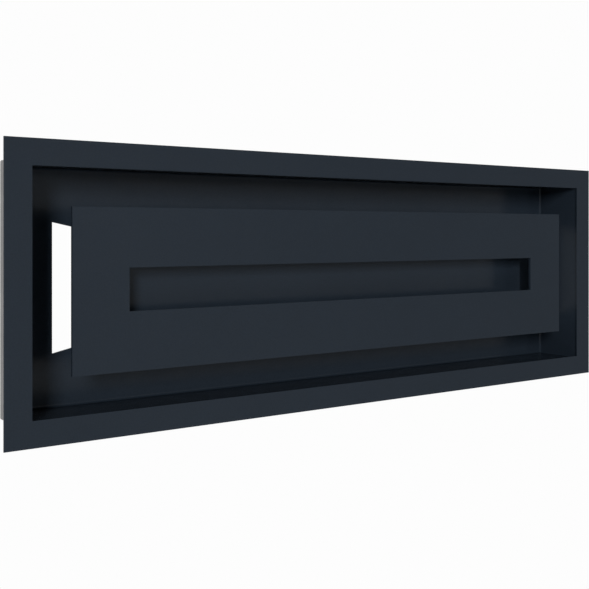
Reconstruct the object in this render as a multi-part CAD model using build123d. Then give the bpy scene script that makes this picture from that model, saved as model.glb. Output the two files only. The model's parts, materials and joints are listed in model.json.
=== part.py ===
"""Fireplace vent grille: a recessed steel insert that pushes into a galvanised sleeve set in the wall.

All lengths are in millimetres. The origin is the centre of the wall cut-out, in the plane of the wall
and of the flange's back face. +X is right as seen from the room, +Y runs into the wall, +Z is up.
"""

import math
import os

from build123d import *

# Flange round the opening
FRONT_WIDTH = 450.0
FRONT_HEIGHT = 160.0
FRONT_SHEET = 1.0
BORDER = 14.2

# Recess tray behind the flange
WALL_SETBACK = 1.4
TRAY_SHEET = 1.0
RECESS_DEPTH = 40.0
TRAY_BEND = 1.5

# Face plate that floats in the opening, flush with the flange
PLATE_SHEET = 2.0
PLATE_GAP = 20.8
SLOT_END_MARGIN = 31.75
SLOT_SIDE_MARGIN = 33.0

# Air tunnel that carries the face plate and lets the air out at its two ends
TUNNEL_SHEET = 1.0
TUNNEL_DEPTH = 20.0
TUNNEL_END_MARGIN = 22.5
TUNNEL_REAR_END_MARGIN = 18.0
TUNNEL_SIDE_MARGIN = 13.0
TUNNEL_BEND = 0.9
AIR_HOLE_END_MARGIN = 2.8
AIR_HOLE_FLARE = 3.0
AIR_HOLE_FLARE_LENGTH = 13.4
FOOT_LAP = 9.0
FOOT_FIT = 1.0

# Welds of the tray, the tunnel's feet and the spring pads
CORNER_WELD_RADIUS = 0.7
FRAME_WELD_LEG = 1.0
FRAME_WELD_LENGTH = 12.0
FRAME_WELDS_LONG_SIDE = 5
FRAME_WELDS_SHORT_SIDE = 2
FOOT_SPOTS = 6
SPOT_RADIUS = 2.0
SPOT_DEPTH = 0.15

# Studs, spacers and nuts between the face plate and the tunnel
STUD_END_MARGIN = 50.0
STUD_SIDE_MARGIN = 23.5
STUD_RADIUS = 2.0
STUD_BASE_RADIUS = 2.75
STUD_BASE_HEIGHT = 0.7
STUD_TIP = 1.5
STUD_CHAMFER = 0.5
STUD_HOLE_FIT = 0.25
SPACER_RADIUS = 4.0
SPACER_BORE_FIT = 0.3
NUT_ACROSS_FLATS = 7.0
NUT_HEIGHT = 3.2
NUT_FLANGE_RADIUS = 4.8
NUT_FLANGE_HEIGHT = 0.9
NUT_BORE_FIT = 0.02

# Leaf springs that hold the insert in the sleeve
SPRING_SHEET = 0.4
SPRING_WIDTH = 12.0
SPRING_END_MARGIN = 83.2
SPRING_PAD = 7.0
SPRING_ARCH = 22.0
SPRING_REAR_MARGIN = 4.0
SPRING_FIT = 0.2

# Galvanised sleeve
SLEEVE_SHEET = 0.8
SLEEVE_GAP = 1.6
SLEEVE_REAR_MARGIN = 1.6
SLEEVE_BEND = 0.2
SLEEVE_SEAT_GAP = 0.2
SEAM_LAP = 18.0
SEAM_KERF = 0.5
LUG_WIDTH = 14.0
LUG_LENGTH = 17.0
LUG_ANGLE = 25.0
LUG_END_MARGIN = 65.6
LUG_KERF = 0.5
LUG_REAR_MARGIN = 8.0

# Sizes that follow
FRONT_Y = -FRONT_SHEET
PLATE_REAR_Y = FRONT_Y + PLATE_SHEET
HOLE_WIDTH = FRONT_WIDTH - 2 * BORDER
HOLE_HEIGHT = FRONT_HEIGHT - 2 * BORDER
PLATE_WIDTH = HOLE_WIDTH - 2 * PLATE_GAP
PLATE_HEIGHT = HOLE_HEIGHT - 2 * PLATE_GAP
SLOT_WIDTH = PLATE_WIDTH - 2 * SLOT_END_MARGIN
SLOT_HEIGHT = PLATE_HEIGHT - 2 * SLOT_SIDE_MARGIN
STUD_PITCH_X = PLATE_WIDTH - 2 * STUD_END_MARGIN
STUD_PITCH_Z = PLATE_HEIGHT - 2 * STUD_SIDE_MARGIN
TRAY_INNER_WIDTH = HOLE_WIDTH + 2 * WALL_SETBACK
TRAY_INNER_HEIGHT = HOLE_HEIGHT + 2 * WALL_SETBACK
TRAY_OUTER_WIDTH = TRAY_INNER_WIDTH + 2 * TRAY_SHEET
TRAY_OUTER_HEIGHT = TRAY_INNER_HEIGHT + 2 * TRAY_SHEET
TRAY_BACK_Y = FRONT_Y + RECESS_DEPTH
TRAY_REAR_Y = TRAY_BACK_Y + TRAY_SHEET
TUNNEL_FRONT_Y = FRONT_Y + TUNNEL_DEPTH
TUNNEL_INNER_Y = TUNNEL_FRONT_Y + TUNNEL_SHEET
TUNNEL_REAR_Y = TRAY_REAR_Y + TUNNEL_SHEET
TUNNEL_FACE_WIDTH = PLATE_WIDTH - 2 * TUNNEL_END_MARGIN
TUNNEL_REAR_WIDTH = PLATE_WIDTH - 2 * TUNNEL_REAR_END_MARGIN
TUNNEL_INNER_HEIGHT = PLATE_HEIGHT - 2 * TUNNEL_SIDE_MARGIN
TUNNEL_OUTER_HEIGHT = TUNNEL_INNER_HEIGHT + 2 * TUNNEL_SHEET
AIR_HOLE_WIDTH = PLATE_WIDTH - 2 * AIR_HOLE_END_MARGIN
AIR_HOLE_HEIGHT = TUNNEL_OUTER_HEIGHT + 2 * FOOT_FIT
SPRING_PITCH_X = TRAY_OUTER_WIDTH - 2 * SPRING_END_MARGIN
SLEEVE_INNER_WIDTH = TRAY_OUTER_WIDTH + 2 * SLEEVE_GAP
SLEEVE_INNER_HEIGHT = TRAY_OUTER_HEIGHT + 2 * SLEEVE_GAP
SLEEVE_OUTER_WIDTH = SLEEVE_INNER_WIDTH + 2 * SLEEVE_SHEET
SLEEVE_OUTER_HEIGHT = SLEEVE_INNER_HEIGHT + 2 * SLEEVE_SHEET
SLEEVE_LENGTH = TRAY_REAR_Y - SLEEVE_REAR_MARGIN - SLEEVE_SEAT_GAP
LUG_PITCH_X = SLEEVE_OUTER_WIDTH - 2 * LUG_END_MARGIN
LUG_ROOT_Y = SLEEVE_SEAT_GAP + SLEEVE_LENGTH - LUG_REAR_MARGIN


def slab(width, height, y_low, y_high):
    """A block centred on X and Z, from y_low to y_high."""
    block = Box(width, y_high - y_low, height)
    return Pos(0, (y_low + y_high) / 2, 0) * block


def cylinder_y(radius, y_low, y_high):
    """A cylinder along Y on the origin's axis."""
    rod = Rot(90, 0, 0) * Cylinder(radius, y_high - y_low)
    return Pos(0, (y_low + y_high) / 2, 0) * rod


def stud_places():
    """X and Z of each stud, left to right, lower row first."""
    return [(x * STUD_PITCH_X / 2, z * STUD_PITCH_Z / 2) for z in (-1, 1) for x in (-1, 1)]


def front_frame():
    """The flange: a flat ring of sheet that covers the edge of the wall cut-out."""
    ring = slab(FRONT_WIDTH, FRONT_HEIGHT, FRONT_Y, 0)
    return ring - slab(HOLE_WIDTH, HOLE_HEIGHT, FRONT_Y - 1, 1)


def rear_edges(solid, y):
    """The four edges round the rear face of a block that ends at y."""
    return [edge for edge in solid.edges() if abs(edge.center().Y - y) < 0.01]


def recess_tray():
    """The tray, folded from one sheet: a back with the air hole, and four walls on bend radii."""
    outer = slab(TRAY_OUTER_WIDTH, TRAY_OUTER_HEIGHT, 0, TRAY_REAR_Y)
    outer = fillet(rear_edges(outer, TRAY_REAR_Y), TRAY_BEND + TRAY_SHEET)
    inner = slab(TRAY_INNER_WIDTH, TRAY_INNER_HEIGHT, -TRAY_BEND, TRAY_BACK_Y)
    inner = fillet(rear_edges(inner, TRAY_BACK_Y), TRAY_BEND)
    tray = outer - inner
    return tray - air_hole() + corner_welds() + frame_welds()


def air_hole():
    """The cut-out in the tray's back, whose two ends flare beyond the tunnel's ends."""
    end_x = AIR_HOLE_WIDTH / 2
    flare_x = end_x - AIR_HOLE_FLARE_LENGTH
    low = AIR_HOLE_HEIGHT / 2
    high = low + AIR_HOLE_FLARE
    upper = [(-end_x, high), (-flare_x, low), (flare_x, low), (end_x, high)]
    lower = [(x, -z) for x, z in reversed(upper)]
    outline = make_face(Plane.XZ * Polyline(*upper, *lower, close=True))
    return Pos(0, TRAY_BACK_Y, 0) * extrude(outline, 2 * TRAY_SHEET, both=True)


def corner_welds():
    """The bead outside each corner of the walls, where the folded walls meet."""
    beads = []
    rear = TRAY_REAR_Y - TRAY_BEND - TRAY_SHEET
    for side_x in (-1, 1):
        for side_z in (-1, 1):
            bead = cylinder_y(CORNER_WELD_RADIUS, FRAME_WELD_LEG, rear)
            beads.append(Pos(side_x * TRAY_OUTER_WIDTH / 2, 0, side_z * TRAY_OUTER_HEIGHT / 2) * bead)
    return beads


def frame_welds():
    """Short fillet welds outside the tray, at the edge that meets the flange."""
    legs = [(0, 0), (FRAME_WELD_LEG, 0), (0, FRAME_WELD_LEG)]
    section = make_face(Plane.YZ * Polyline(*legs, close=True))
    bead = extrude(section, FRAME_WELD_LENGTH / 2, both=True)
    top = Pos(0, 0, TRAY_OUTER_HEIGHT / 2) * bead
    right = Rot(0, 90, 0) * Pos(0, 0, TRAY_OUTER_WIDTH / 2) * bead
    beads = [Pos(x, 0, 0) * top for x in even_places(TRAY_OUTER_WIDTH, FRAME_WELDS_LONG_SIDE)]
    beads += [Pos(0, 0, z) * right for z in even_places(TRAY_OUTER_HEIGHT, FRAME_WELDS_SHORT_SIDE)]
    return beads + [Rot(0, 180, 0) * bead for bead in beads]


def even_places(length, count):
    """Middles of count equal shares of a length centred on 0."""
    return [length * ((number + 0.5) / count - 0.5) for number in range(count)]


def tunnel_section():
    """The tunnel's hat section in the Y-Z plane: face, two webs and two feet."""
    inner = TUNNEL_INNER_HEIGHT / 2
    outer = TUNNEL_OUTER_HEIGHT / 2
    foot_edge = AIR_HOLE_HEIGHT / 2 + FOOT_LAP
    right = [
        (TUNNEL_INNER_Y, inner),
        (TUNNEL_REAR_Y, inner),
        (TUNNEL_REAR_Y, foot_edge),
        (TRAY_REAR_Y, foot_edge),
        (TRAY_REAR_Y, outer),
        (TUNNEL_FRONT_Y, outer),
    ]
    left = [(y, -z) for y, z in reversed(right)]
    outline = Plane.YZ * Polyline(*right, *left, close=True)
    return make_face(outline)


def bend_edges(solid, y, half):
    """The tunnel's long edges at depth y and height half, above and below."""
    picked = []
    for edge in solid.edges().filter_by(Axis.X):
        centre = edge.center()
        if abs(centre.Y - y) < 0.01 and abs(abs(centre.Z) - half) < 0.01:
            picked.append(edge)
    return picked


def air_tunnel():
    """The tunnel, folded from one sheet, with both ends open and cut on a slope."""
    inner = TUNNEL_INNER_HEIGHT / 2
    outer = TUNNEL_OUTER_HEIGHT / 2
    hat = extrude(tunnel_section(), TUNNEL_REAR_WIDTH / 2, both=True)
    convex = bend_edges(hat, TUNNEL_FRONT_Y, outer) + bend_edges(hat, TUNNEL_REAR_Y, inner)
    hat = fillet(convex, TUNNEL_BEND + TUNNEL_SHEET)
    concave = bend_edges(hat, TUNNEL_INNER_Y, inner) + bend_edges(hat, TRAY_REAR_Y, outer)
    hat = fillet(concave, TUNNEL_BEND)
    hat -= tunnel_end_cuts()
    for x, z in stud_places():
        hole = cylinder_y(STUD_RADIUS + STUD_HOLE_FIT, TUNNEL_FRONT_Y - 1, TUNNEL_INNER_Y + 1)
        hat -= Pos(x, 0, z) * hole
    return hat - foot_spots()


def tunnel_end_cuts():
    """The wedge taken off each end, from the tunnel's face down to its feet."""
    half_face = TUNNEL_FACE_WIDTH / 2
    half_rear = TUNNEL_REAR_WIDTH / 2
    points = [
        (half_face, TUNNEL_FRONT_Y - 1),
        (half_rear + 1, TUNNEL_FRONT_Y - 1),
        (half_rear + 1, TUNNEL_REAR_Y),
        (half_rear, TUNNEL_REAR_Y),
        (half_face, TUNNEL_FRONT_Y),
    ]
    wedge = extrude(make_face(Polyline(*points, close=True)), PLATE_HEIGHT, both=True)
    return [wedge, mirror(wedge, about=Plane.YZ)]


def foot_spots():
    """The shallow marks of the spot welds along both feet, pressed in from behind."""
    mark = cylinder_y(SPOT_RADIUS, TUNNEL_REAR_Y - SPOT_DEPTH, TUNNEL_REAR_Y + 1)
    height = (AIR_HOLE_HEIGHT + FOOT_LAP) / 2
    places = even_places(TUNNEL_REAR_WIDTH, FOOT_SPOTS)
    return [Pos(x, 0, side * height) * mark for x in places for side in (-1, 1)]


def face_plate():
    """The flat plate with the long slot, flush with the flange."""
    plate = slab(PLATE_WIDTH, PLATE_HEIGHT, FRONT_Y, PLATE_REAR_Y)
    return plate - slab(SLOT_WIDTH, SLOT_HEIGHT, FRONT_Y - 1, PLATE_REAR_Y + 1)


def weld_stud():
    """A flanged stud welded on the back of the face plate."""
    tip_y = TUNNEL_INNER_Y + NUT_HEIGHT + STUD_TIP
    shank = cylinder_y(STUD_RADIUS, PLATE_REAR_Y, tip_y)
    tip = [edge for edge in shank.edges() if abs(edge.center().Y - tip_y) < 0.01]
    shank = chamfer(tip, STUD_CHAMFER)
    return shank + cylinder_y(STUD_BASE_RADIUS, PLATE_REAR_Y, PLATE_REAR_Y + STUD_BASE_HEIGHT)


def spacer():
    """A turned tube that keeps the face plate at its distance from the tunnel."""
    bore = STUD_RADIUS + SPACER_BORE_FIT
    tube = cylinder_y(SPACER_RADIUS, PLATE_REAR_Y, TUNNEL_FRONT_Y)
    tube -= cylinder_y(bore, PLATE_REAR_Y - 1, TUNNEL_FRONT_Y + 1)
    recess_y = PLATE_REAR_Y + STUD_BASE_HEIGHT + SPACER_BORE_FIT
    recess = cylinder_y(STUD_BASE_RADIUS + SPACER_BORE_FIT, PLATE_REAR_Y - 1, recess_y)
    return tube - recess


def flange_nut():
    """A hexagon nut with its own washer face, against the inside of the tunnel's face."""
    across_corners = NUT_ACROSS_FLATS / math.cos(math.radians(30)) / 2
    hexagon = Rot(90, 0, 0) * extrude(RegularPolygon(across_corners, 6), NUT_HEIGHT / 2, both=True)
    nut = Pos(0, TUNNEL_INNER_Y + NUT_HEIGHT / 2, 0) * hexagon
    nut += cylinder_y(NUT_FLANGE_RADIUS, TUNNEL_INNER_Y, TUNNEL_INNER_Y + NUT_FLANGE_HEIGHT)
    bore = cylinder_y(STUD_RADIUS + NUT_BORE_FIT, TUNNEL_INNER_Y - 1, TUNNEL_INNER_Y + NUT_HEIGHT + 1)
    return nut - bore


def spring_clip():
    """A leaf spring on the tray's top wall: a welded pad and an arch that bears on the sleeve."""
    base = TRAY_OUTER_HEIGHT / 2
    top = base + SPRING_SHEET
    crest = base + SLEEVE_GAP - SPRING_FIT
    pad_rear = TRAY_REAR_Y - SPRING_REAR_MARGIN
    pad_front = pad_rear - SPRING_PAD
    free_end = pad_front - SPRING_ARCH
    middle = (pad_front + free_end) / 2
    upper = ThreePointArc((pad_front, top), (middle, crest), (free_end, top))
    lower = ThreePointArc((free_end, base), (middle, crest - SPRING_SHEET), (pad_front, base))
    edges = [
        Line((pad_rear, base), (pad_rear, top)),
        Line((pad_rear, top), (pad_front, top)),
        upper,
        Line((free_end, top), (free_end, base)),
        lower,
        Line((pad_front, base), (pad_rear, base)),
    ]
    outline = Plane.YZ * Curve(edges)
    strip = extrude(make_face(outline), SPRING_WIDTH / 2, both=True)
    mark = Pos(0, (pad_rear + pad_front) / 2, top) * Cylinder(SPOT_RADIUS, 2 * SPOT_DEPTH)
    return strip - mark


def mounting_sleeve():
    """The sleeve, a galvanised strip folded to a frame, with a lap seam below and anchor lugs."""
    front = SLEEVE_SEAT_GAP
    rear = front + SLEEVE_LENGTH
    outer = slab(SLEEVE_OUTER_WIDTH, SLEEVE_OUTER_HEIGHT, front, rear)
    outer = fillet(outer.edges().filter_by(Axis.Y), SLEEVE_BEND + SLEEVE_SHEET)
    inner = slab(SLEEVE_INNER_WIDTH, SLEEVE_INNER_HEIGHT, front - 1, rear + 1)
    inner = fillet(inner.edges().filter_by(Axis.Y), SLEEVE_BEND)
    sleeve = outer - inner
    sleeve -= seam_piece(SEAM_KERF, -(SLEEVE_INNER_HEIGHT + SLEEVE_SHEET) / 2)
    sleeve += seam_piece(SEAM_LAP, -(SLEEVE_OUTER_HEIGHT + SLEEVE_SHEET) / 2)
    for side in (-1, 1):
        for end in (-1, 1):
            place = Pos(end * LUG_PITCH_X / 2, 0, 0)
            flip = Rot(0, 0 if side > 0 else 180, 0)
            sleeve -= place * flip * lug_window()
            sleeve += place * flip * anchor_lug()
    return sleeve


def seam_piece(width, z):
    """A piece of the sleeve's sheet at the middle of X and height z: the seam's kerf or its welded lap."""
    middle_y = SLEEVE_SEAT_GAP + SLEEVE_LENGTH / 2
    return Pos(0, middle_y, z) * Box(width, SLEEVE_LENGTH, SLEEVE_SHEET)


def lug_window():
    """The opening that a lug leaves in the sleeve's wall."""
    wall_z = (SLEEVE_INNER_HEIGHT + SLEEVE_SHEET) / 2
    length = LUG_LENGTH + LUG_KERF
    window = Box(LUG_WIDTH + 2 * LUG_KERF, length, 3 * SLEEVE_SHEET)
    return Pos(0, LUG_ROOT_Y - length / 2, wall_z) * window


def anchor_lug():
    """One lug, cut on three sides out of the sleeve's wall and bent outwards at its rear root."""
    low = SLEEVE_INNER_HEIGHT / 2
    high = low + SLEEVE_SHEET
    tilt = math.radians(LUG_ANGLE)
    reach_y = LUG_LENGTH * math.cos(tilt)
    rise = LUG_LENGTH * math.sin(tilt)
    skew_y = SLEEVE_SHEET * math.sin(tilt)
    skew_z = SLEEVE_SHEET * (1 - math.cos(tilt))
    points = [
        (LUG_ROOT_Y + SLEEVE_SHEET, low),
        (LUG_ROOT_Y, low),
        (LUG_ROOT_Y - reach_y, low + rise),
        (LUG_ROOT_Y - reach_y + skew_y, high + rise - skew_z),
        (LUG_ROOT_Y + SLEEVE_SHEET * math.tan(tilt / 2), high),
        (LUG_ROOT_Y + SLEEVE_SHEET, high),
    ]
    outline = Plane.YZ * Polyline(*points, close=True)
    return extrude(make_face(outline), LUG_WIDTH / 2, both=True)


def build():
    """Every piece under the name of its node."""
    parts = {
        "front_frame": front_frame(),
        "recess_tray": recess_tray(),
        "air_tunnel": air_tunnel(),
        "face_plate": face_plate(),
        "mounting_sleeve": mounting_sleeve(),
    }
    for number, (x, z) in enumerate(stud_places(), start=1):
        parts[f"weld_stud_{number}"] = Pos(x, 0, z) * weld_stud()
        parts[f"spacer_{number}"] = Pos(x, 0, z) * spacer()
        parts[f"flange_nut_{number}"] = Pos(x, 0, z) * flange_nut()
    for side, turn in (("top", 0), ("bottom", 180)):
        for end, name in ((-1, "left"), (1, "right")):
            clip = Rot(0, turn, 0) * spring_clip()
            parts[f"spring_clip_{side}_{name}"] = Pos(end * SPRING_PITCH_X / 2, 0, 0) * clip
    return parts


def main():
    os.makedirs("parts", exist_ok=True)
    for name, shape in build().items():
        export_step(shape, f"parts/{name}.step")


main()
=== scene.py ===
"""Looks of the fireplace vent grille, in metres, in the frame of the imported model.

The origin is the centre of the wall cut-out, +X is right as seen from the room, +Y runs into the wall
and +Z is up. The flange's front face looks along -Y.
"""

import json
import math

import bpy
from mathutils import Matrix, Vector


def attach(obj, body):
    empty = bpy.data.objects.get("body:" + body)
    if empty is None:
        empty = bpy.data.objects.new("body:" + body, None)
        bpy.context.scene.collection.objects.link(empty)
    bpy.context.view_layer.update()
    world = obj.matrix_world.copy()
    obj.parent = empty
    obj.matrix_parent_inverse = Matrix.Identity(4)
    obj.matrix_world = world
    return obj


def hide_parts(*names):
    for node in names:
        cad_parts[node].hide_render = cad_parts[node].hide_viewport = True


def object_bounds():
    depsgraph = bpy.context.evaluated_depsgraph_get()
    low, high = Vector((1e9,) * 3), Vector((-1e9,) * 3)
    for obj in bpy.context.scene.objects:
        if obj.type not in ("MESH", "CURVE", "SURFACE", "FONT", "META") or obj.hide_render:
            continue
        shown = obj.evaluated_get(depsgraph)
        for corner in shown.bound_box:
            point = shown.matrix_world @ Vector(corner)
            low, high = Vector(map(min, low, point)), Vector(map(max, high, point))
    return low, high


MM = 0.001

# Camera: level, in front and left of the grille's centre, with its view shifted sideways and down
IMAGE_PX = 589
SENSOR_MM = 36.0
FOCAL_PX = 945.12
CENTRE_PX_X = 373.05
HORIZON_PX_Y = 232.03
CAMERA_PLACE = (-0.36649, -0.49316, 0.03144)
CAMERA_TURN_DEG = 37.377
CAMERA_LEVEL_DEG = 90
CAMERA_CLIP = (0.01, 100)

# Stage: white surroundings and a pale floor, on which only the grille's shadow shows
BACKGROUND_LEVEL = 0.982
AMBIENT_LEVEL = 0.04
FLOOR_DROP = 1.20
FLOOR_SIZE = 12.0
FLOOR_GREY = 0.9
FLOOR_ROUGHNESS = 0.9
FLOOR_LIT_RADIUS = 0.30
FLOOR_WHITE_RADIUS = 0.75
FLOOR_LEAST_WHITE = 0.65

# Graphite powder coat. Its specular level is lower at flat angles of view than at square ones.
COAT_COLOUR = (0.0172, 0.0245, 0.0340)
COAT_SPECULAR = 0.11
COAT_SPECULAR_AT_50_DEG = 0.06
COAT_ROUGHNESS = 0.22
COAT_ROUGHNESS_SWING = 0.05
COAT_PATCH = 8 * MM
COAT_MOTTLE = 60 * MM
COAT_MOTTLE_RANGE = (0.97, 1.03)
COAT_GRAIN = 0.9 * MM
COAT_GRAIN_RANGE = (0.90, 1.10)
COAT_PEEL = 1.8 * MM
COAT_PEEL_HEIGHT = 0.05 * MM
COAT_PEEL_STRENGTH = 0.35
COAT_SPECK = 0.35 * MM
COAT_SPECK_HEIGHT = 0.02 * MM
COAT_SPECK_STRENGTH = 0.5

# Facing value of a Layer Weight node: 1 minus the cosine of the angle between view and normal
LAYER_BLEND = 0.5
FACING_AT_30_DEG = 0.13
FACING_AT_50_DEG = 0.36

# Galvanised sheet
ZINC_COLOUR = (0.25, 0.244, 0.24)
ZINC_METALLIC = 0.2
ZINC_SPECULAR = 0.15
ZINC_SPANGLE = 7 * MM
ZINC_SPANGLE_RANGE = (0.90, 1.08)
ZINC_ROUGHNESS_RANGE = (0.42, 0.58)
ZINC_CLOUD = 25 * MM
ZINC_CLOUD_RANGE = (0.94, 1.05)
ZINC_MARK = 1.2 * MM
ZINC_MARK_STRETCH = (0.05, 1.0, 1.0)
ZINC_MARK_HEIGHT = 0.02 * MM
ZINC_MARK_STRENGTH = 0.3

# Plated and rolled steel of the small fixings
FIXING_COLOUR = (0.50, 0.50, 0.49)
FIXING_ROUGHNESS = 0.38
SPRING_COLOUR = (0.36, 0.37, 0.38)
SPRING_ROUGHNESS = 0.34
STEEL_METALLIC = 0.85
STEEL_CLOUD = 2.5 * MM
STEEL_CLOUD_RANGE = (0.88, 1.08)
STEEL_SCRATCH = 0.5 * MM
STEEL_SCRATCH_STRETCH = (0.15, 1.0, 1.0)
STEEL_SCRATCH_HEIGHT = 0.01 * MM
STEEL_SCRATCH_STRENGTH = 0.4
STEEL_ROUGHNESS_SWING = 0.08

# Usual range of a noise and of the grey of the cells
NOISE_RANGE = (0.3, 0.7)
CELL_RANGE = (0.2, 0.8)

# Radius of the sheet edges in each material
EDGE_RADIUS = {
    "graphite_coat": 0.1 * MM,
    "galvanised_sheet": 0.08 * MM,
    "zinc_fixing": 0.1 * MM,
    "spring_steel": 0.05 * MM,
}
EDGE_SEGMENTS = 2
EDGE_LEAST_ANGLE_DEG = 40

# Studs with an M4 thread, whose crest and root are each flat for THREAD_FLAT_SHARE of half a pitch
STUD_COUNT = 4
STUD_BASE_RADIUS = 2.75 * MM
STUD_BASE_HEIGHT = 0.7 * MM
STUD_CHAMFER = 0.5 * MM
THREAD_CREST = 2.0 * MM
THREAD_DEPTH = 0.4 * MM
THREAD_PITCH = 0.7 * MM
THREAD_FLAT_SHARE = 0.2
ROWS_PER_PITCH = 8
STUD_SIDES = 24

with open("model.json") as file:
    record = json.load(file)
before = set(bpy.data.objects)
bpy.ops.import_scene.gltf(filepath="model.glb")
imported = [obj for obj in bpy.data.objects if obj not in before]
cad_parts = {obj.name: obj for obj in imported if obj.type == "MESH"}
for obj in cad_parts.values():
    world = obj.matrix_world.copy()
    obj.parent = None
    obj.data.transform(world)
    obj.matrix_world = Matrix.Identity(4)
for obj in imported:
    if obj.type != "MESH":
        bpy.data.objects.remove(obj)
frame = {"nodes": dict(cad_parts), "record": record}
CAD_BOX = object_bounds()


class Shader:
    """A node material under construction, with short calls for the nodes used here."""

    def __init__(self, name):
        self.material = bpy.data.materials.new(name)
        self.material.use_nodes = True
        self.tree = self.material.node_tree
        self.principled = self.tree.nodes["Principled BSDF"]
        self.place = self.node("ShaderNodeTexCoord").outputs["Object"]

    def node(self, kind, **settings):
        made = self.tree.nodes.new(kind)
        for key, value in settings.items():
            setattr(made, key, value)
        return made

    def link(self, source, target):
        self.tree.links.new(source, target)

    def set(self, **values):
        """Constants on the shader's own sockets, with _ for a space in a socket's name."""
        for key, value in values.items():
            self.principled.inputs[key.replace("_", " ")].default_value = value

    def noise(self, size, detail=2.0, roughness=0.5, stretch=(1.0, 1.0, 1.0)):
        """Noise whose lumps are about size metres across, from 0 to 1."""
        mapping = self.node("ShaderNodeMapping")
        mapping.inputs["Scale"].default_value = [value / size for value in stretch]
        self.link(self.place, mapping.inputs["Vector"])
        made = self.node("ShaderNodeTexNoise")
        made.inputs["Scale"].default_value = 1.0
        made.inputs["Detail"].default_value = detail
        made.inputs["Roughness"].default_value = roughness
        self.link(mapping.outputs["Vector"], made.inputs["Vector"])
        return made.outputs["Fac"]

    def cells(self, size):
        """Random grey per crystal, with crystals about size metres across."""
        made = self.node("ShaderNodeTexVoronoi", feature="F1")
        made.inputs["Scale"].default_value = 1.0 / size
        self.link(self.place, made.inputs["Vector"])
        grey = self.node("ShaderNodeRGBToBW")
        self.link(made.outputs["Color"], grey.inputs["Color"])
        return grey.outputs["Val"]

    def spread(self, source, to_range, from_range=NOISE_RANGE):
        """Source stretched from its usual range to another one, and cut off at its ends."""
        made = self.node("ShaderNodeMapRange")
        for name, value in zip(("From Min", "From Max", "To Min", "To Max"), (*from_range, *to_range)):
            made.inputs[name].default_value = value
        self.link(source, made.inputs["Value"])
        return made.outputs["Result"]

    def multiply(self, first, second):
        """Product of two factors."""
        made = self.node("ShaderNodeMath", operation="MULTIPLY")
        self.link(first, made.inputs[0])
        self.link(second, made.inputs[1])
        return made.outputs["Value"]

    def tint(self, colour, factor):
        """Colour times a grey factor, into the base colour."""
        made = self.node("ShaderNodeVectorMath", operation="SCALE")
        made.inputs[0].default_value = colour
        self.link(factor, made.inputs["Scale"])
        self.link(made.outputs["Vector"], self.principled.inputs["Base Color"])

    def bump(self, height, distance, strength, under=None):
        """Normal with bumps of distance in metres, on top of the bumps under it."""
        made = self.node("ShaderNodeBump")
        made.inputs["Distance"].default_value = distance
        made.inputs["Strength"].default_value = strength
        self.link(height, made.inputs["Height"])
        if under is not None:
            self.link(under, made.inputs["Normal"])
        return made.outputs["Normal"]


def around(middle, swing):
    """Range of swing to each side of middle."""
    return middle - swing, middle + swing


def powder_coat():
    """Fine matte powder coat: faint mottling, fine grain, a light orange peel and a weak gloss."""
    s = Shader("graphite_coat")
    weight = s.node("ShaderNodeLayerWeight")
    weight.inputs["Blend"].default_value = LAYER_BLEND
    gloss_range = (COAT_SPECULAR, COAT_SPECULAR_AT_50_DEG)
    facing_range = (FACING_AT_30_DEG, FACING_AT_50_DEG)
    gloss = s.spread(weight.outputs["Facing"], gloss_range, facing_range)
    s.link(gloss, s.principled.inputs["Specular IOR Level"])
    mottle = s.spread(s.noise(COAT_MOTTLE, detail=3.0), COAT_MOTTLE_RANGE)
    grain = s.spread(s.noise(COAT_GRAIN, detail=3.0, roughness=0.7), COAT_GRAIN_RANGE)
    s.tint(COAT_COLOUR, s.multiply(mottle, grain))
    matt = s.spread(s.noise(COAT_PATCH), around(COAT_ROUGHNESS, COAT_ROUGHNESS_SWING))
    s.link(matt, s.principled.inputs["Roughness"])
    peel = s.bump(s.noise(COAT_PEEL, detail=1.0), COAT_PEEL_HEIGHT, COAT_PEEL_STRENGTH)
    specks = s.bump(s.noise(COAT_SPECK), COAT_SPECK_HEIGHT, COAT_SPECK_STRENGTH, under=peel)
    s.link(specks, s.principled.inputs["Normal"])
    return s.material


def galvanised():
    """Dull hot-dip zinc with a faint spangle and rolling marks."""
    s = Shader("galvanised_sheet")
    s.set(Metallic=ZINC_METALLIC, Specular_IOR_Level=ZINC_SPECULAR)
    crystals = s.cells(ZINC_SPANGLE)
    spangle = s.spread(crystals, ZINC_SPANGLE_RANGE, CELL_RANGE)
    cloud = s.spread(s.noise(ZINC_CLOUD, detail=4.0), ZINC_CLOUD_RANGE)
    s.tint(ZINC_COLOUR, s.multiply(spangle, cloud))
    matt = s.spread(crystals, ZINC_ROUGHNESS_RANGE, CELL_RANGE)
    s.link(matt, s.principled.inputs["Roughness"])
    marks = s.noise(ZINC_MARK, stretch=ZINC_MARK_STRETCH)
    s.link(s.bump(marks, ZINC_MARK_HEIGHT, ZINC_MARK_STRENGTH), s.principled.inputs["Normal"])
    return s.material


def plated(name, colour, roughness):
    """Plated or rolled steel of a small fixing, with fine scratches."""
    s = Shader(name)
    s.set(Metallic=STEEL_METALLIC)
    s.tint(colour, s.spread(s.noise(STEEL_CLOUD, detail=4.0), STEEL_CLOUD_RANGE))
    scratches = s.noise(STEEL_SCRATCH, stretch=STEEL_SCRATCH_STRETCH)
    matt = s.spread(scratches, around(roughness, STEEL_ROUGHNESS_SWING))
    s.link(matt, s.principled.inputs["Roughness"])
    grooves = s.bump(scratches, STEEL_SCRATCH_HEIGHT, STEEL_SCRATCH_STRENGTH)
    s.link(grooves, s.principled.inputs["Normal"])
    return s.material


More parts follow.
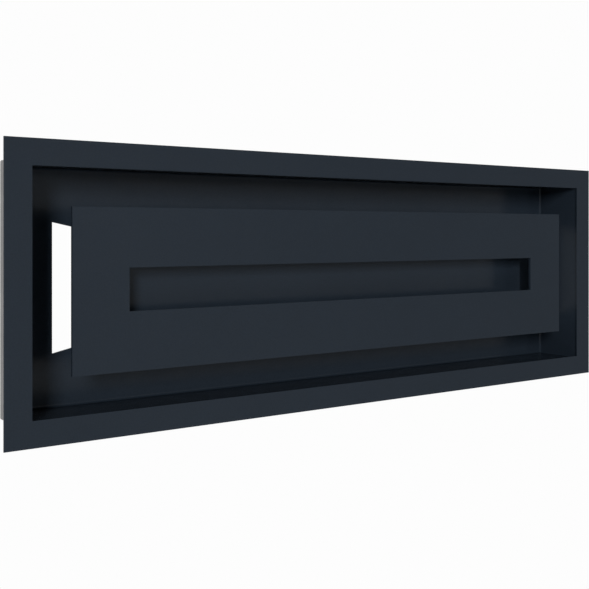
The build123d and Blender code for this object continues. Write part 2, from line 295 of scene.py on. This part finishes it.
def make_looks():
    """The node material of each slot."""
    return {
        "graphite_coat": powder_coat(),
        "galvanised_sheet": galvanised(),
        "zinc_fixing": plated("zinc_fixing", FIXING_COLOUR, FIXING_ROUGHNESS),
        "spring_steel": plated("spring_steel", SPRING_COLOUR, SPRING_ROUGHNESS),
    }


def dress_nodes(looks):
    """Gives each CAD node the material of its slot and a small radius on its sheet edges."""
    for row in frame["record"]["subparts"]:
        piece = frame["nodes"][row["node"]]
        slot = row["material_slot"]
        piece.data.materials.clear()
        piece.data.materials.append(looks[slot])
        soften_edges(piece, EDGE_RADIUS[slot])


def soften_edges(piece, radius):
    """Rounds the sharp edges of a piece by radius."""
    bevel = piece.modifiers.new("edge_radius", "BEVEL")
    bevel.width = radius
    bevel.segments = EDGE_SEGMENTS
    bevel.limit_method = "ANGLE"
    bevel.angle_limit = math.radians(EDGE_LEAST_ANGLE_DEG)
    bevel.harden_normals = True


def node_box(node):
    """Lowest and highest corner of a CAD node."""
    corners = [node.matrix_world @ Vector(corner) for corner in node.bound_box]
    low = Vector([min(corner[axis] for corner in corners) for axis in range(3)])
    high = Vector([max(corner[axis] for corner in corners) for axis in range(3)])
    return low, high


def thread_radius(y, angle):
    """Radius of the thread at height y and angle, with a flat crest and a flat root."""
    turn = (y / THREAD_PITCH - angle / (2 * math.pi)) % 1.0
    groove = (abs(2 * turn - 1) - THREAD_FLAT_SHARE) / (1 - 2 * THREAD_FLAT_SHARE)
    return THREAD_CREST - THREAD_DEPTH * min(max(groove, 0.0), 1.0)


def threaded_stud(node, looks):
    """A stud with its thread, in place of the plain rod of its node."""
    low, high = node_box(node)
    centre_x = (low.x + high.x) / 2
    centre_z = (low.z + high.z) / 2
    thread_low = low.y + STUD_BASE_HEIGHT
    rows = math.ceil((high.y - thread_low) / THREAD_PITCH * ROWS_PER_PITCH)
    heights = [low.y, thread_low]
    heights += [thread_low + (high.y - thread_low) * row / rows for row in range(rows + 1)]
    vertices = []
    for row, y in enumerate(heights):
        for side in range(STUD_SIDES):
            angle = 2 * math.pi * side / STUD_SIDES
            radius = STUD_BASE_RADIUS
            if row > 1:
                tip_limit = THREAD_CREST - STUD_CHAMFER + high.y - y
                radius = min(thread_radius(y, angle), tip_limit)
            place = (centre_x + radius * math.cos(angle), y, centre_z + radius * math.sin(angle))
            vertices.append(place)
    faces = [tuple(range(STUD_SIDES))]
    for row in range(len(heights) - 1):
        for side in range(STUD_SIDES):
            first = row * STUD_SIDES + side
            second = row * STUD_SIDES + (side + 1) % STUD_SIDES
            faces.append((first, first + STUD_SIDES, second + STUD_SIDES, second))
    last = (len(heights) - 1) * STUD_SIDES
    faces.append(tuple(range(last + STUD_SIDES - 1, last - 1, -1)))
    mesh = bpy.data.meshes.new("threaded_" + node.name)
    mesh.from_pydata(vertices, [], faces)
    mesh.materials.append(looks["zinc_fixing"])
    stud = bpy.data.objects.new("threaded_" + node.name, mesh)
    bpy.context.scene.collection.objects.link(stud)
    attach(stud, "insert")
    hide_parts(node.name)


def make_camera():
    """The camera of the photograph."""
    data = bpy.data.cameras.new("camera")
    data.sensor_width = SENSOR_MM
    data.lens = FOCAL_PX * SENSOR_MM / IMAGE_PX
    data.shift_x = 0.5 - CENTRE_PX_X / IMAGE_PX
    data.shift_y = HORIZON_PX_Y / IMAGE_PX - 0.5
    data.clip_start, data.clip_end = CAMERA_CLIP
    camera = bpy.data.objects.new("camera", data)
    camera.location = CAMERA_PLACE
    camera.rotation_euler = (math.radians(CAMERA_LEVEL_DEG), 0, -math.radians(CAMERA_TURN_DEG))
    bpy.context.scene.collection.objects.link(camera)
    bpy.context.scene.camera = camera


def lamp(name, azimuth, elevation, distance, width, height, level, colour):
    """A soft lamp that isn't mirrored. Azimuth 0 is in front of the grille and 90 is right of it; level 1
    lights a facing surface so that its colour renders as written."""
    data = bpy.data.lights.new(name, "AREA")
    data.shape = "RECTANGLE"
    data.size = width
    data.size_y = height
    data.energy = level * math.pi**2 * distance**2
    data.color = colour
    lamp_object = bpy.data.objects.new(name, data)
    turn, rise = math.radians(azimuth), math.radians(elevation)
    way = Vector((math.sin(turn) * math.cos(rise), -math.cos(turn) * math.cos(rise), math.sin(rise)))
    lamp_object.location = way * distance
    lamp_object.rotation_mode = "QUATERNION"
    lamp_object.rotation_quaternion = way.to_track_quat("Z", "Y")
    lamp_object.visible_camera = False
    lamp_object.visible_glossy = False
    bpy.context.scene.collection.objects.link(lamp_object)


def make_lights():
    """The main lamp, which is above the camera, a weak one on the right, one for the left side and the
    back, and two more from behind and above. Each row gives name, azimuth and elevation in degrees,
    distance, width, height, level and colour."""
    for row in (
        ("cool_left", -34.5, 12, 5.0, 0.96, 1.29, 0.69, (0.96, 0.965, 0.995)),
        ("warm_front", 20, 0, 5.0, 0.7, 0.7, 0.08, (1.0, 0.96, 0.90)),
        ("back_left", -130, 12, 3.0, 0.6, 0.6, 0.105, (0.80, 0.87, 0.90)),
        ("behind", 180, 16, 2.0, 1.2, 0.6, 0.42, (1.0, 1.0, 1.0)),
        ("above", 180, 84, 2.0, 1.2, 1.2, 0.16, (1.0, 1.0, 1.0)),
    ):
        lamp(*row)


def seen_or_mirrored(tree):
    """1 for what the camera sees straight, in a reflection or through glass, and 0 otherwise."""
    path = tree.nodes.new("ShaderNodeLightPath")
    total = path.outputs["Is Camera Ray"]
    for ray in ("Is Glossy Ray", "Is Transmission Ray"):
        both = tree.nodes.new("ShaderNodeMath")
        both.operation = "MAXIMUM"
        tree.links.new(total, both.inputs[0])
        tree.links.new(path.outputs[ray], both.inputs[1])
        total = both.outputs["Value"]
    return total


def make_world():
    """White where it is seen or mirrored, and a low even fill elsewhere."""
    world = bpy.data.worlds.new("studio")
    bpy.context.scene.world = world
    world.use_nodes = True
    tree = world.node_tree
    background = tree.nodes["Background"]
    level = tree.nodes.new("ShaderNodeMapRange")
    level.inputs["To Min"].default_value = AMBIENT_LEVEL
    level.inputs["To Max"].default_value = BACKGROUND_LEVEL
    tree.links.new(seen_or_mirrored(tree), level.inputs["Value"])
    background.inputs["Color"].default_value = (1, 1, 1, 1)
    tree.links.new(level.outputs["Result"], background.inputs["Strength"])


def make_floor():
    """A pale floor well below the grille, which keeps its shadow."""
    mesh = bpy.data.meshes.new("floor")
    half = FLOOR_SIZE / 2
    corners = [(-half, -half, 0), (half, -half, 0), (half, half, 0), (-half, half, 0)]
    mesh.from_pydata(corners, [], [(0, 1, 2, 3)])
    floor = bpy.data.objects.new("floor", mesh)
    floor.location = (0, 0, CAD_BOX[0].z - FLOOR_DROP)
    bpy.context.scene.collection.objects.link(floor)
    material = bpy.data.materials.new("pale_floor")
    material.use_nodes = True
    tree = material.node_tree
    principled = tree.nodes["Principled BSDF"]
    principled.inputs["Base Color"].default_value = (FLOOR_GREY, FLOOR_GREY, FLOOR_GREY, 1)
    principled.inputs["Roughness"].default_value = FLOOR_ROUGHNESS
    white = tree.nodes.new("ShaderNodeEmission")
    white.inputs["Strength"].default_value = BACKGROUND_LEVEL
    blend = tree.nodes.new("ShaderNodeMixShader")
    tree.links.new(far_share(tree), blend.inputs["Fac"])
    tree.links.new(principled.outputs["BSDF"], blend.inputs[1])
    tree.links.new(white.outputs["Emission"], blend.inputs[2])
    tree.links.new(blend.outputs["Shader"], tree.nodes["Material Output"].inputs["Surface"])
    mesh.materials.append(material)


def far_share(tree):
    """The share of plain white in the floor for the rays that see the background: it leaves the grille's
    shadow on the floor near it and rises to 1 far from it."""
    place = tree.nodes.new("ShaderNodeTexCoord")
    distance = tree.nodes.new("ShaderNodeVectorMath")
    distance.operation = "LENGTH"
    tree.links.new(place.outputs["Object"], distance.inputs[0])
    ramp = tree.nodes.new("ShaderNodeMapRange")
    ramp.interpolation_type = "SMOOTHSTEP"
    ramp.inputs["From Min"].default_value = FLOOR_LIT_RADIUS
    ramp.inputs["From Max"].default_value = FLOOR_WHITE_RADIUS
    ramp.inputs["To Min"].default_value = FLOOR_LEAST_WHITE
    tree.links.new(distance.outputs["Value"], ramp.inputs["Value"])
    both = tree.nodes.new("ShaderNodeMath")
    both.operation = "MULTIPLY"
    tree.links.new(ramp.outputs["Result"], both.inputs[0])
    tree.links.new(seen_or_mirrored(tree), both.inputs[1])
    return both.outputs["Value"]


looks = make_looks()
dress_nodes(looks)
for number in range(1, STUD_COUNT + 1):
    threaded_stud(frame["nodes"][f"weld_stud_{number}"], looks)
make_camera()
make_lights()
make_world()
make_floor()
bpy.context.scene.view_settings.view_transform = "Standard"
